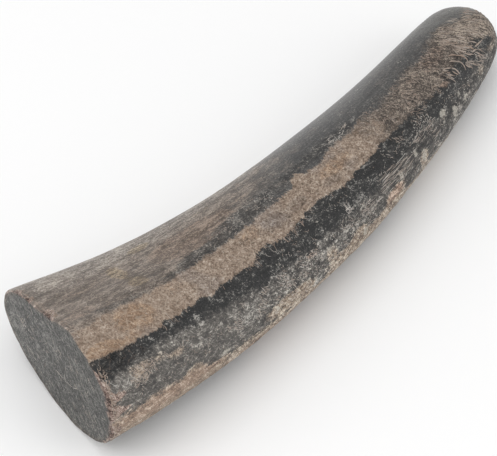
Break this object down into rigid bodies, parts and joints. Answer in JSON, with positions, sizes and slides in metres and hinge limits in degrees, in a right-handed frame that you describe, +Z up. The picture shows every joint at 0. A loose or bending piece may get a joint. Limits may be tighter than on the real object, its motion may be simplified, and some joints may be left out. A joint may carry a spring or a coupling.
{
  "type": "bull horn",
  "caption": "Solid length of bull horn, oval in section, bent and tapering from a square saw cut to a blunt rounded tip, with a rough stripe along its upper side.",
  "frame": {"origin": "middle of the bounding box, on the surface that the horn lies on", "axes": "+X from the sawn face into the horn, +Y towards the inside of the bend, +Z up"},
  "size_m": [0.172, 0.0828, 0.0357],
  "materials": {
    "horn": "satin"
  },
  "bodies": {
    "root": {"horn": "horn"}
  },
  "joints": []
}
